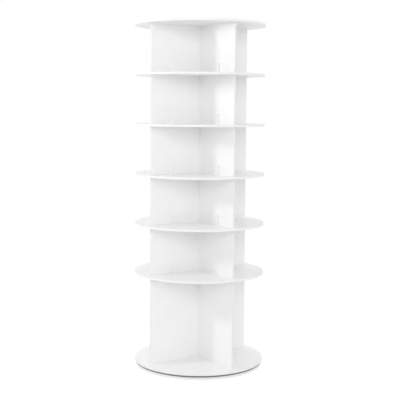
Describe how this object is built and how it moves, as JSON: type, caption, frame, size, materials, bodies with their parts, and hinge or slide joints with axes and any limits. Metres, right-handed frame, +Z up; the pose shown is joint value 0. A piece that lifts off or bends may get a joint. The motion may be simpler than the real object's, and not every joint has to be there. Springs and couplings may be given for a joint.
{
  "type": "rotating shoe tower",
  "caption": "Tower of round boards with crossed upright panels between them, which turns on a ball-bearing turntable over a low base and stores shoes and boots in its quarter compartments.",
  "frame": {"origin": "on the axis of rotation, at the level of the pads' undersides, where the tower meets the floor", "axes": "+Z up along the axis of rotation, X along the full panels, Y along the half panels"},
  "size_m": [0.5999, 0.6, 1.5851],
  "materials": {
    "white_board": "particle board with satin white melamine faces and white edge bands",
    "ring_aluminium": "plain turned aluminium",
    "zinc_steel": "bright zinc-plated steel",
    "cage_plastic": "natural nylon",
    "cap_plastic": "moulded white plastic",
    "pad_rubber": "dark grey foam rubber",
    "dowel_beech": "bare beech"
  },
  "bodies": {
    "base": {"base_board": "white_board", "base_pads": "pad_rubber", "bearing_lower_ring": "ring_aluminium", "lower_ring_screws": "zinc_steel"},
    "ball_cage": {"bearing_cage": "cage_plastic", "bearing_balls": "zinc_steel"},
    "tower": {"bottom_shelf": "white_board", "bottom_shelf_screws": "zinc_steel", "bearing_upper_ring": "ring_aluminium", "upper_ring_screws": "zinc_steel", "top_board": "white_board", "top_board_screws": "zinc_steel", "top_screw_caps": "cap_plastic", "wing_dowels": "dowel_beech", "shelf_dowels": "dowel_beech", "shelf_1": "white_board", "shelf_1_screws": "zinc_steel", "shelf_2": "white_board", "shelf_2_screws": "zinc_steel", "shelf_3": "white_board", "shelf_3_screws": "zinc_steel", "shelf_4": "white_board", "shelf_4_screws": "zinc_steel", "shelf_5": "white_board", "shelf_5_screws": "zinc_steel", "tier1_full_panel": "white_board", "tier1_front_panel": "white_board", "tier1_back_panel": "white_board", "tier2_full_panel": "white_board", "tier2_front_panel": "white_board", "tier2_back_panel": "white_board", "tier3_full_panel": "white_board", "tier3_front_panel": "white_board", "tier3_back_panel": "white_board", "tier4_full_panel": "white_board", "tier4_front_panel": "white_board", "tier4_back_panel": "white_board", "tier5_full_panel": "white_board", "tier5_front_panel": "white_board", "tier5_back_panel": "white_board", "tier6_full_panel": "white_board", "tier6_front_panel": "white_board", "tier6_back_panel": "white_board"}
  },
  "joints": [
    {"name": "tower_spin", "type": "hinge", "parent": "base", "child": "tower", "pos_m": [0, 0, 0.01475], "axis": [0, 0, 1], "continuous": true},
    {"name": "cage_spin", "type": "hinge", "parent": "base", "child": "ball_cage", "pos_m": [0, 0, 0.01475], "axis": [0, 0, 1], "continuous": true}
  ],
  "couplings": [
    {"joint": "cage_spin", "follows": "tower_spin", "ratio": 0.494}
  ]
}
